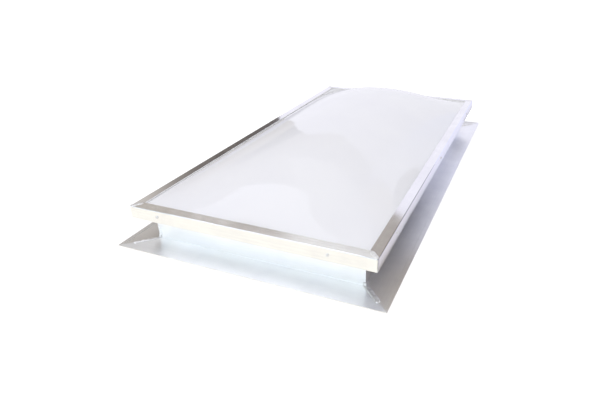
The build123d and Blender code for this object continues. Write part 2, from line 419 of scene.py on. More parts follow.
@dataclass(frozen=True)
class WeldedAluminium:
    """Aluminium weld metal: a satin skin of oxide with faint smut, rougher where it was linished."""

    name: str
    smooth: float
    rough: float
    crest: str = "#F4F4F3"
    valley: str = "#D6D5D5"
    # The oxide's own grain, which shows only from close by
    grain_mm: float = 0.8
    grain_depth_mm: float = 0.2
    grain_low: float = 0.3
    grain_high: float = 0.7
    smut_mm: float = 6.0
    smut_low: float = 0.3
    smut_high: float = 0.6

    def material(self) -> bpy.types.Material:
        """Build the finish.

        Returns:
            The material.
        """
        material, tree, place = new_material(self.name)
        grain = add_node(
            tree, "ShaderNodeTexNoise", {"Scale": 1 / (self.grain_mm * MM), "Detail": 3.0}, {"Vector": place}
        ).outputs["Fac"]
        smut = add_node(
            tree, "ShaderNodeTexNoise", {"Scale": 1 / (self.smut_mm * MM), "Detail": 2.0}, {"Vector": place}
        ).outputs["Fac"]
        colour = add_node(
            tree,
            "ShaderNodeValToRGB",
            links={"Fac": smut},
            stops=[(self.smut_low, linear(self.valley)), (self.smut_high, linear(self.crest))],
        ).outputs["Color"]
        roughness = add_node(
            tree,
            "ShaderNodeMapRange",
            {
                "From Min": self.grain_low,
                "From Max": self.grain_high,
                "To Min": self.smooth,
                "To Max": self.rough,
            },
            {"Value": grain},
        ).outputs["Result"]
        bump = add_node(
            tree,
            "ShaderNodeBump",
            {"Strength": 0.3, "Distance": self.grain_depth_mm * MM},
            {"Height": grain},
        ).outputs["Normal"]
        shader = add_node(
            tree,
            "ShaderNodeBsdfPrincipled",
            {"Metallic": 1.0},
            {"Base Color": colour, "Roughness": roughness, "Normal": bump},
        ).outputs["BSDF"]
        add_node(tree, "ShaderNodeOutputMaterial", links={"Surface": shader})
        return material


@dataclass(frozen=True)
class OpalAcrylic:
    """White opal acrylic sheet, thermoformed: milky and slightly cool, under a clear glossy skin.

    Light enters the sheet and comes back softened, while the skin mirrors the room faintly.
    """

    milk: str = "#F4F4F7"
    shade: str = "#F1F1F5"
    mottle_mm: float = 180.0
    mottle_low: float = 0.3
    mottle_high: float = 0.7
    forming_mm: float = 45.0
    forming_depth_mm: float = 0.4
    roughness: float = 0.06
    acrylic_ior: float = 1.49
    # Handling has dulled the skin, so it mirrors less than a fresh sheet
    skin_level: float = 0.2
    glow_share: float = 0.15
    glow_mm: float = 4.0

    def material(self) -> bpy.types.Material:
        """Build the finish.

        Returns:
            The material.
        """
        material, tree, place = new_material("opal_acrylic_thermoformed")
        mottle = add_node(
            tree, "ShaderNodeTexNoise", {"Scale": 1 / (self.mottle_mm * MM), "Detail": 2.0}, {"Vector": place}
        ).outputs["Fac"]
        forming = add_node(
            tree,
            "ShaderNodeTexNoise",
            {"Scale": 1 / (self.forming_mm * MM), "Detail": 1.0},
            {"Vector": place},
        ).outputs["Fac"]
        colour = add_node(
            tree,
            "ShaderNodeValToRGB",
            links={"Fac": mottle},
            stops=[(self.mottle_low, linear(self.shade)), (self.mottle_high, linear(self.milk))],
        ).outputs["Color"]
        bump = add_node(
            tree,
            "ShaderNodeBump",
            {"Strength": 0.1, "Distance": self.forming_depth_mm * MM},
            {"Height": forming},
        ).outputs["Normal"]
        shader = add_node(
            tree,
            "ShaderNodeBsdfPrincipled",
            {
                "Roughness": self.roughness,
                "IOR": self.acrylic_ior,
                "Specular IOR Level": self.skin_level,
                "Subsurface Weight": self.glow_share,
                "Subsurface Radius": (1.0, 1.0, 1.0),
                "Subsurface Scale": self.glow_mm * MM,
            },
            {"Base Color": colour, "Normal": bump},
        ).outputs["BSDF"]
        add_node(tree, "ShaderNodeOutputMaterial", links={"Surface": shader})
        return material


@dataclass(frozen=True)
class GlazingStrip:
    """A glazing strip: closed-cell foam with pin-head cells, or smooth extruded rubber with a matt bloom."""

    name: str
    body: str
    worn: str
    cell_mm: float
    cell_depth_mm: float
    roughness: float
    # Where a cell turns from its heart's colour to its rim's, as a share of its size
    cell_heart: float = 0.1
    cell_rim: float = 0.8

    def material(self) -> bpy.types.Material:
        """Build the finish.

        Returns:
            The material.
        """
        material, tree, place = new_material(self.name)
        cells = add_node(
            tree, "ShaderNodeTexVoronoi", {"Scale": 1 / (self.cell_mm * MM)}, {"Vector": place}
        ).outputs["Distance"]
        colour = add_node(
            tree,
            "ShaderNodeValToRGB",
            links={"Fac": cells},
            stops=[(self.cell_heart, linear(self.body)), (self.cell_rim, linear(self.worn))],
        ).outputs["Color"]
        bump = add_node(
            tree, "ShaderNodeBump", {"Strength": 0.5, "Distance": self.cell_depth_mm * MM}, {"Height": cells}
        ).outputs["Normal"]
        shader = add_node(
            tree,
            "ShaderNodeBsdfPrincipled",
            {"Roughness": self.roughness},
            {"Base Color": colour, "Normal": bump},
        ).outputs["BSDF"]
        add_node(tree, "ShaderNodeOutputMaterial", links={"Surface": shader})
        return material


@dataclass(frozen=True)
class ZincPlatedSteel:
    """Zinc plated screw steel: a bluish bright metal with a faint cloudy bloom."""

    bright: str = "#F6F6F7"
    bloom: str = "#E6E7EA"
    bloom_mm: float = 2.0
    bloom_low: float = 0.35
    bloom_high: float = 0.65
    smooth: float = 0.3
    rough: float = 0.45

    def material(self) -> bpy.types.Material:
        """Build the finish.

        Returns:
            The material.
        """
        material, tree, place = new_material("zinc_plated_steel")
        bloom = add_node(
            tree, "ShaderNodeTexNoise", {"Scale": 1 / (self.bloom_mm * MM), "Detail": 3.0}, {"Vector": place}
        ).outputs["Fac"]
        colour = add_node(
            tree,
            "ShaderNodeValToRGB",
            links={"Fac": bloom},
            stops=[(self.bloom_low, linear(self.bloom)), (self.bloom_high, linear(self.bright))],
        ).outputs["Color"]
        roughness = add_node(
            tree,
            "ShaderNodeMapRange",
            {
                "From Min": self.bloom_low,
                "From Max": self.bloom_high,
                "To Min": self.rough,
                "To Max": self.smooth,
            },
            {"Value": bloom},
        ).outputs["Result"]
        shader = add_node(
            tree,
            "ShaderNodeBsdfPrincipled",
            {"Metallic": 1.0},
            {"Base Color": colour, "Roughness": roughness},
        ).outputs["BSDF"]
        add_node(tree, "ShaderNodeOutputMaterial", links={"Surface": shader})
        return material


@dataclass(frozen=True)
class Opening:
    """The clear opening inside the curb, which the frame's sizes are counted from, in mm."""

    half_width: float = 285.75
    half_length: float = 590.55

    def corner_point(self, corner: Corner, outward: float, height: float) -> Vector:
        """Find a point on a corner's mitre plane.

        Args:
            corner: Which corner.
            outward: Distance in mm from both edges of the opening.
            height: Height in mm.

        Returns:
            The point in mm.
        """
        sign_x, sign_y = corner.value
        return Vector((sign_x * (self.half_width + outward), sign_y * (self.half_length + outward), height))


class BeadForm(Enum):
    """How the metal of a weld bead is heaped across its seam, with the power that shapes it."""

    # A wide bead is nearly flat on top and round at its toes
    WIDE = 5
    FILLET = 1

    def arch(self, across: float) -> float:
        """Work out how high the bead stands at a place across it.

        Args:
            across: The place, from minus one at one toe to one at the other.

        Returns:
            The height as a share of the crest.
        """
        rest = max(0.0, 1 - abs(across) ** self.value)
        return rest if self is BeadForm.FILLET else math.sqrt(rest)


@dataclass(frozen=True)
class Station:
    """One cross-section of a weld bead, in mm.

    travel is the way along the seam, point the seam's place there and normal the way that the bead rises.
    fold says how far the ground falls away to the sides, and sink how deep the bead's root lies in it.
    """

    travel: float
    point: Vector
    normal: Vector
    half_width: float
    crest: float
    fold: float
    sink: float


def rounded_half_width(half_width: float, travel: float, total: float) -> float:
    """Narrow a bead towards its two round ends.

    Args:
        half_width: Half the bead's width away from its ends, in mm.
        travel: The way along the seam, in mm.
        total: The bead's whole length, in mm.

    Returns:
        Half the width at that place, in mm.
    """
    from_end = min(travel, total - travel) + BLUNT_END
    if from_end >= half_width:
        return half_width
    return half_width * math.sqrt(1 - (1 - from_end / half_width) ** 2)


@dataclass
class WeldBead:
    """A weld bead laid along a seam as overlapping round puddles."""

    name: str
    node: str
    across: Vector
    stations: list[Station]
    seed: float
    form: BeadForm = BeadForm.WIDE
    pitch: float = 2.3
    lag: float = 0.45
    ripple_share: float = 0.2
    ripple_mean: float = 0.6
    sway_length: float = 5.0
    sway_share: float = 0.1
    fold_radius: float = 0.1
    columns: int = 20
    # No bead sinks right through the flange that it is laid on
    lowest: float = 0.5

    def build(self, material: bpy.types.Material) -> bpy.types.Object:
        """Make the bead's mesh and dress it.

        Args:
            material: The weld metal's finish.

        Returns:
            The bead.
        """
        top: Rows = []
        bottom: Rows = []
        for station in self.stations:
            sway = noise.noise(Vector((station.travel / self.sway_length, self.seed, 0.0)))
            upper, lower = [], []
            for column in range(self.columns + 1):
                t = 2 * column / self.columns - 1
                offset = t * station.half_width * (1 + self.sway_share * sway)
                lean = -station.fold * math.hypot(offset, self.fold_radius)
                puddle = (station.travel + self.lag * t * t * station.half_width) / self.pitch
                ripple = 1 + self.ripple_share * (abs(math.sin(math.pi * puddle)) - self.ripple_mean)
                rise = station.crest * self.form.arch(t) * ripple
                foot = station.point + self.across * offset
                upper.append((foot + station.normal * (lean + rise)) * MM)
                root = foot + station.normal * (lean - station.sink)
                root.z = max(root.z, self.lowest)
                lower.append(root * MM)
            top.append(upper)
            bottom.append(lower)
        points, faces = closed_sheet(top, bottom)
        return make_piece(self.name, points, faces, material, self.node)


@dataclass
class Curb:
    """The welded curb: four mitred lengths with a roof flange, and the beads on their corner seams."""

    opening: Opening = Opening()
    wall: float = 2.0
    flange_weld_half_width: float = 6.0
    flange_weld_crest: float = 1.8
    flange_weld_end: float = 45.0
    flange_weld_climb: float = 10.0
    flange_weld_climb_half_width: float = 4.0
    flange_weld_seed_step: float = 7.3
    root_bend: float = 4.0
    # A bead bites deeper where it turns from the wall to the flange
    sink: float = 0.3
    root_bend_sink: float = 1.7
    upstand_weld_leg: float = 4.0
    upstand_weld_fill_share: float = 0.85
    upstand_weld_top: float = 86.0
    upstand_weld_seed: float = 40.0
    upstand_weld_seed_step: float = 5.1
    step: float = 0.4

    def flange_weld_stations(self, corner: Corner) -> list[Station]:
        """Lay a bead from its top on the curb's corner, round the root and out along the flange's mitre.

        Args:
            corner: Which corner.

        Returns:
            The bead's cross-sections in order.
        """
        foot = self.opening.corner_point(corner, self.wall, self.wall)
        out = corner.outward
        climb = self.flange_weld_climb - self.root_bend
        turn = self.root_bend * math.pi / 2
        reach = (self.flange_weld_end - self.wall) * math.sqrt(2) + self.flange_weld_half_width
        total = climb + turn + (reach - self.root_bend)
        stations = []
        for index in range(int(total / self.step) + 1):
            travel = index * self.step
            bend = min(1.0, max(0.0, (travel - climb) / turn))
            angle = bend * math.pi / 2
            if travel < climb:
                point = foot + UP * (self.flange_weld_climb - travel)
            elif travel < climb + turn:
                point = foot + (out * (1 - math.cos(angle)) + UP * (1 - math.sin(angle))) * self.root_bend
            else:
                point = foot + out * (self.root_bend + travel - climb - turn)
            normal = out * math.cos(angle) + UP * math.sin(angle)
            spread = min(1.0, travel / (climb + turn + self.root_bend))
            widened = (self.flange_weld_half_width - self.flange_weld_climb_half_width) * spread
            full = self.flange_weld_climb_half_width + widened
            half_width = rounded_half_width(full, travel, total)
            crest = self.flange_weld_crest * half_width / full
            sink = self.sink + self.root_bend_sink * math.sin(bend * math.pi)
            stations.append(Station(travel, point, normal, half_width, crest, 1 - bend, sink))
        return stations

    def upstand_weld_stations(self, corner: Corner) -> list[Station]:
        """Lay a fillet up the inside of a corner seam, with its legs on both walls.

        Args:
            corner: Which corner.

        Returns:
            The bead's cross-sections in order.
        """
        toe = self.upstand_weld_leg / math.sqrt(2)
        crest = self.upstand_weld_fill_share * toe
        height = self.upstand_weld_top - self.wall
        count = int(height / self.step)
        stations = []
        for index in range(count + 1):
            travel = index * height / count
            point = self.opening.corner_point(corner, 0.0, self.wall + travel)
            stations.append(Station(travel, point, -corner.outward, toe, crest, -1.0, self.sink))
        return stations

    def build(self, weld: bpy.types.Material, drawn: dict[Run, bpy.types.Material]) -> None:
        """Dress the four lengths and lay the beads.

        Args:
            weld: The weld metal's finish.
            drawn: The extrusions' finish for each way that a length runs.
        """
        for side in Side:
            dress_node(f"curb_{side.label}", drawn[side.run])
        for number, corner in enumerate(Corner):
            WeldBead(
                f"flange_weld_bead_{corner.label}",
                f"flange_weld_{corner.label}",
                corner.across,
                self.flange_weld_stations(corner),
                number * self.flange_weld_seed_step,
            ).build(weld)
            WeldBead(
                f"upstand_weld_bead_{corner.label}",
                f"upstand_weld_{corner.label}",
                -corner.across,
                self.upstand_weld_stations(corner),
                number * self.upstand_weld_seed_step + self.upstand_weld_seed,
                BeadForm.FILLET,
            ).build(weld)


@dataclass
class CapScrew:
    """A zinc plated pan-head sheet-metal screw with a cross recess, drawn head up on its seat."""

    head_radius: float = 3.7
    head_height: float = 2.4
    crown: float = 0.7
    # The head's edge rolls over from its crown: how far in each ring is and how far below the crown's foot
    edge_width: float = 0.6
    edge_steps: tuple[tuple[float, float], ...] = ((0.25, 0.1), (0.05, 0.45))
    waist_share: float = 0.45
    shank_radius: float = 2.1
    thread_depth: float = 0.45
    thread_pitch: float = 1.4
    shank_length: float = 12.0
    tip_length: float = 3.0
    tip_radius: float = 0.15
    recess_arm: float = 2.15
    recess_half_width: float = 0.55
    recess_depth: float = 1.25
    recess_wall_slope_width: float = 0.25
    recess_end_slope_width: float = 0.6
    segments: int = 48
    head_ring_count: int = 22
    shank_ring_count: int = 56

    def recess(self, x: float, y: float) -> float:
        """Work out how deep the cross recess is at a place on the head's top.

        Args:
            x: The place along one arm of the cross, in mm from the middle.
            y: The place along the other arm.

        Returns:
            The depth in mm.
        """
        long, short = max(abs(x), abs(y)), min(abs(x), abs(y))
        wall = (self.recess_half_width - short) / self.recess_wall_slope_width
        end = (self.recess_arm - long) / self.recess_end_slope_width
        return self.recess_depth * max(0.0, min(1.0, wall)) * max(0.0, min(1.0, end))

    def circle(self, radius: float, z: float) -> list[Vector]:
        """One level ring of points in mm."""
        return [Vector((radius * math.cos(a), radius * math.sin(a), z)) for a in self.angles()]

    def angles(self) -> list[float]:
        """The angles of the points on a ring."""
        return [2 * math.pi * i / self.segments for i in range(self.segments)]

    def rings(self) -> Rows:
        """Draw the screw ring by ring, from the middle of the head's top down to the tip.

        Returns:
            The rings of points in mm.
        """
        rings = []
        flat = self.head_radius - self.edge_width
        for index in range(1, self.head_ring_count + 1):
            radius = flat * index / self.head_ring_count
            ring = self.circle(radius, self.head_height - self.crown * (radius / self.head_radius) ** 2)
            for point in ring:
                point.z -= self.recess(point.x, point.y)
            rings.append(ring)
        shoulder = rings[-1][0].z
        for inset, drop in self.edge_steps:
            rings.append(self.circle(self.head_radius - inset, shoulder - drop))
        rings.append(self.circle(self.head_radius, shoulder * self.waist_share))
        rings.append(self.circle(self.head_radius, 0.0))
        rings.append(self.circle(self.shank_radius, 0.0))
        for index in range(1, self.shank_ring_count):
            z = -self.shank_length * index / self.shank_ring_count
            body = min(1.0, (self.shank_length + z) / self.tip_length)
            ring = []
            for angle in self.angles():
                turn = (z / self.thread_pitch + angle / (2 * math.pi)) % 1
                cut = self.thread_depth * abs(2 * turn - 1)
                radius = max(self.tip_radius, (self.shank_radius - cut) * body)
                ring.append(Vector((radius * math.cos(angle), radius * math.sin(angle), z)))
            rings.append(ring)
        return rings

    def skin(self) -> tuple[list[Vector], Faces]:
        """Close the rings into the skin of one screw.

        Returns:
            The points in mm and the faces.
        """
        rings = self.rings()
        points = [p for ring in rings for p in ring]
        count = self.segments
        faces: Faces = []
        for row in range(len(rings) - 1):
            for i in range(count):
                a, b = row * count + i, row * count + (i + 1) % count
                faces.append((a, a + count, b + count, b))
        middle = len(points)
        points.append(Vector((0, 0, self.head_height - self.recess_depth)))
        points.append(Vector((0, 0, -self.shank_length)))
        last = (len(rings) - 1) * count
        for i in range(count):
            faces.append((middle, i, (i + 1) % count))
            faces.append((middle + 1, last + (i + 1) % count, last + i))
        return points, faces


@dataclass
class CapFrame:
    """The cap frame: four mitred rails, their corner welds, the screws through the skirts and the seals."""

    opening: Opening = Opening()
    face: float = 42.0
    lip: float = 16.0
    top: float = 107.0
    band_rise: float = 1.7
    band_width: float = 26.0
    weld_half_width: float = 6.0
    weld_crest: float = 0.9
    weld_sink: float = 0.3
    weld_end_margin: float = 2.0
    weld_seed: float = 90.0
    weld_seed_step: float = 3.7
    screw_height: float = 90.5
    screws_short: tuple[float, ...] = (-212.75, 244.75)
    screws_long: tuple[float, ...] = (-487.55, 0.0, 487.55)
    # Each screw stops at a turn of its own, in radians, that grows along its side and from side to side
    first_turn: float = 0.4
    turn_along_side: float = 1.1
    turn_by_count: float = 0.7
    step: float = 0.35

    def weld_stations(self, corner: Corner) -> list[Station]:
        """Lay a bead over a mitre, from the lip to the outer edge.

        Args:
            corner: Which corner.

        Returns:
            The bead's cross-sections in order.
        """
        slope = self.band_rise / self.band_width
        mitre_slope = slope / math.sqrt(2)
        start = self.lip + self.weld_end_margin
        stop = self.face - self.weld_end_margin
        span = (stop - start) * math.sqrt(2)
        count = int(span / self.step)
        stations = []
        for index in range(count + 1):
            travel = span * index / count
            outward = start + (stop - start) * index / count
            point = self.opening.corner_point(corner, outward, self.top + slope * (self.face - outward))
            half_width = rounded_half_width(self.weld_half_width, travel, span)
            crest = self.weld_crest * half_width / self.weld_half_width
            stations.append(Station(travel, point, UP, half_width, crest, mitre_slope, self.weld_sink))
        return stations

    def screw_frames(self) -> list[Matrix]:
        """Place the screws on the four skirts.

        Returns:
            For each screw, where its seat is, in mm, and which way its head faces.
        """
        frames = []
        for side in Side:
            short = side.run is Run.ALONG_X
            reach = (self.opening.half_length if short else self.opening.half_width) + self.face
            along = side.outward.cross(UP)
            facing = Matrix((along, UP, side.outward)).transposed().to_4x4()
            for index, station in enumerate(self.screws_short if short else self.screws_long):
                seat = side.outward * reach + along * station + UP * self.screw_height
                turn = self.first_turn + self.turn_along_side * index + self.turn_by_count * len(frames)
                frames.append(Matrix.Translation(seat) @ facing @ Matrix.Rotation(turn, 4, "Z"))
        return frames

    def build_screws(self, material: bpy.types.Material) -> bpy.types.Object:
        """Make the screws as one group, as the node that they stand for is.

        Args:
            material: The screws' finish.

        Returns:
            The group of screws.
        """
        skin, skin_faces = CapScrew().skin()
        points: list[Vector] = []
        faces: Faces = []
        for placed in self.screw_frames():
            first = len(points)
            points += [(placed @ p) * MM for p in skin]
            faces += [tuple(first + i for i in f) for f in skin_faces]
        return make_piece("cap_pan_head_screws", points, faces, material, "cap_screws")

    def build(
        self,
        weld: bpy.types.Material,
        drawn: dict[Run, bpy.types.Material],
        rubber: bpy.types.Material,
        zinc: bpy.types.Material,
    ) -> None:
        """Dress the rails and seals, lay the corner beads and drive the screws.

        Args:
            weld: The weld metal's finish.
            drawn: The extrusions' finish for each way that a length runs.
            rubber: The seals' finish.
            zinc: The screws' finish.
        """
        for side in Side:
            dress_node(f"cap_rail_{side.label}", drawn[side.run])
            dress_node(f"cap_seal_{side.label}", rubber)
        for number, corner in enumerate(Corner):
            WeldBead(
                f"cap_weld_bead_{corner.label}",
                f"cap_weld_{corner.label}",
                corner.across,
                self.weld_stations(corner),
                number * self.weld_seed_step + self.weld_seed,
            ).build(weld)
        self.build_screws(zinc)


@dataclass
class Dome:
    """The white dome: one sheet with a flat rim and a crown that is a parabola across and a quartic along."""

    spring_x: float = 303.75
    spring_y: float = 608.55
    rim: float = 19.0
    rim_corner: float = 12.0
    rim_top: float = 103.0
    rise: float = 100.0
    sheet: float = 4.0
    # The crown meets the rim in a small soft bend, and past it the crown's line runs on down at this slope
    spring_softness: float = 0.8
    past_spring_slope: float = 0.6
    # The grid is close-set about the spring line, from this far inside it
    spring_zone: float = 9.0
    spring_steps: tuple[float, ...] = (-4.5, -2.5, -1.2, 0.0, 1.2, 2.5, 4.5)
    crown_columns: int = 64
    crown_rows: int = 120
    rim_cells: int = 5

    def lines(self, spring: float, cells: int) -> list[float]:
        """Place the grid's lines across one way, closer together at the spring line.

        Args:
            spring: Half the crown's size this way, in mm.
            cells: How many cells the crown has.

        Returns:
            The places in mm, from one rim edge to the other.
        """
        inner = spring - self.spring_zone
        last_step = self.spring_steps[-1]
        cell = (self.rim - last_step) / self.rim_cells
        half = [inner * 2 * i / cells for i in range(cells // 2 + 1)]
        half += [spring + step for step in self.spring_steps]
        half += [spring + last_step + cell * i for i in range(1, self.rim_cells + 1)]
        return [-p for p in reversed(half[1:])] + half

    def plan(self, x: float, y: float) -> tuple[float, float]:
        """Move a point of the square grid so that the rim's corners come out round.

        Args:
            x: The point's place across, in mm.
            y: The point's place along, in mm.

        Returns:
            The moved place across and along.
        """
        past_x = abs(x) - (self.spring_x + self.rim - self.rim_corner)
        past_y = abs(y) - (self.spring_y + self.rim - self.rim_corner)
        if past_x <= 0 or past_y <= 0:
            return x, y
        pull = 1 - max(past_x, past_y) / math.hypot(past_x, past_y)
        return x - math.copysign(past_x * pull, x), y - math.copysign(past_y * pull, y)

    def height(self, x: float, y: float) -> float:
        """Work out the height of the outer face, with the spring line softly rounded.

        Args:
            x: The place across, in mm.
            y: The place along, in mm.

        Returns:
            The height in mm, no higher than the crown.
        """
        share_x, share_y = abs(x) / self.spring_x, abs(y) / self.spring_y
        if share_x < 1 and share_y < 1:
            crown = self.rise * (1 - share_x**2) * (1 - share_y**4)
        else:
            crown = -self.past_spring_slope * max(abs(x) - self.spring_x, abs(y) - self.spring_y)
        return self.rim_top + min(self.rise, (crown + math.hypot(crown, 2 * self.spring_softness)) / 2)

    def build(self, material: bpy.types.Material) -> bpy.types.Object:
        """Make the sheet's mesh and dress it.

        Args:
            material: The sheet's finish.

        Returns:
            The dome.
        """
        top: Rows = []
        bottom: Rows = []
        for x in self.lines(self.spring_x, self.crown_columns):
            upper, lower = [], []
            for y in self.lines(self.spring_y, self.crown_rows):
                plan_x, plan_y = self.plan(x, y)
                z = self.height(x, y)
                upper.append(Vector((plan_x, plan_y, z)) * MM)
                lower.append(Vector((plan_x, plan_y, z - self.sheet)) * MM)
            top.append(upper)
            bottom.append(lower)
        points, faces = closed_sheet(top, bottom)
        return make_piece("dome_sheet", points, faces, material, "dome")


@dataclass
class Camera:
    """The camera, placed and aimed as measured from the photograph's perspective."""

    eye: tuple[float, float, float] = (578.5, -1442.4, 684.7)
    azimuth_deg: float = 21.596
    elevation_deg: float = 27.385
    roll_deg: float = 0.158
    focal_px: float = 491.13
    centre_x_px: float = 346.6
    sensor_mm: float = 36.0
    nearest: float = 0.02
    farthest: float = 100.0

    def build(self) -> None:
        """Make the camera and make it the scene's."""
        azimuth, elevation = math.radians(self.azimuth_deg), math.radians(self.elevation_deg)
        level_ahead = Vector((-math.sin(azimuth), math.cos(azimuth), 0.0))
        ahead = level_ahead * math.cos(elevation) - UP * math.sin(elevation)
        right = ahead.cross(UP).normalized()
        down = ahead.cross(right)
        roll = math.radians(self.roll_deg)
        right, down = (
            right * math.cos(roll) + down * math.sin(roll),
            down * math.cos(roll) - right * math.sin(roll),
        )
        data = bpy.data.cameras.new("camera")
        data.sensor_width = self.sensor_mm
        data.lens = self.focal_px * self.sensor_mm / IMAGE_WIDTH
        data.shift_x = (IMAGE_WIDTH / 2 - self.centre_x_px) / IMAGE_WIDTH
        data.clip_start = self.nearest
        data.clip_end = self.farthest
        camera = bpy.data.objects.new("camera", data)
        facing = Matrix((right, -down, -ahead)).transposed().to_4x4()
        camera.matrix_world = Matrix.Translation(Vector(self.eye) * MM) @ facing
        bpy.context.scene.collection.objects.link(camera)
        bpy.context.scene.camera = camera
        log.info("camera placed at %s mm", self.eye)


@dataclass(frozen=True)
class Fade:
    """An even change from tone to tone along one axis, with each tone's place as a share of the way."""

    axis: Axis
    start: float
    stop: float
    tones: tuple[tuple[float, str], ...]

    def colour(self, tree: bpy.types.NodeTree, place: bpy.types.NodeSocket) -> bpy.types.NodeSocket:
        """Draw the fade.

        Args:
            tree: The material's tree.
            place: The place on the object, in metres.

        Returns:
            The colour.
        """
        split = add_node(tree, "ShaderNodeSeparateXYZ", links={"Vector": place})
        share = add_node(
            tree,
            "ShaderNodeMapRange",
            {"From Min": self.start, "From Max": self.stop},
            {"Value": split.outputs[self.axis.name]},
        ).outputs["Result"]
        stops = [(at, linear(tone)) for at, tone in self.tones]
        return add_node(tree, "ShaderNodeValToRGB", links={"Fac": share}, stops=stops).outputs["Color"]


def oblong(low_u: float, high_u: float, low_v: float, high_v: float) -> Outline:
    """The outline of an oblong card."""
    return ((low_u, low_v), (high_u, low_v), (high_u, high_v), (low_u, high_v))


@dataclass(frozen=True)
class ReflectorCard:
    """A flat studio card that only shows in reflections.

    It stands square to one axis, at a distance along it, and its outline is in the other two axes.
    """

    name: str
    square_to: Axis
    distance: float
    outline: Outline
    tone: str | Fade
    strength: float = 1.0

    def build(self) -> bpy.types.Object:
        """Make the card and hide it from the eye, from diffuse light, from transmission and from shadows.

        Returns:
            The card.
        """
        material, tree, place = new_material(f"{self.name}_tone")
        glow = add_node(tree, "ShaderNodeEmission", {"Strength": self.strength})
        if isinstance(self.tone, Fade):
            tree.links.new(self.tone.colour(tree, place), glow.inputs["Color"])
        else:
            glow.inputs["Color"].default_value = linear(self.tone)
        add_node(tree, "ShaderNodeOutputMaterial", links={"Surface": glow.outputs["Emission"]})
        before = self.square_to.value
        points = [(*pair[:before], self.distance, *pair[before:]) for pair in self.outline]
        mesh = bpy.data.meshes.new(self.name)
        mesh.from_pydata(points, [], [tuple(range(len(points)))])
        mesh.materials.append(material)
        card = bpy.data.objects.new(self.name, mesh)
        card.visible_camera = False
        card.visible_diffuse = False
        card.visible_transmission = False
        card.visible_shadow = False
        bpy.context.scene.collection.objects.link(card)
        log.info("%s stands as stage", self.name)
        return card


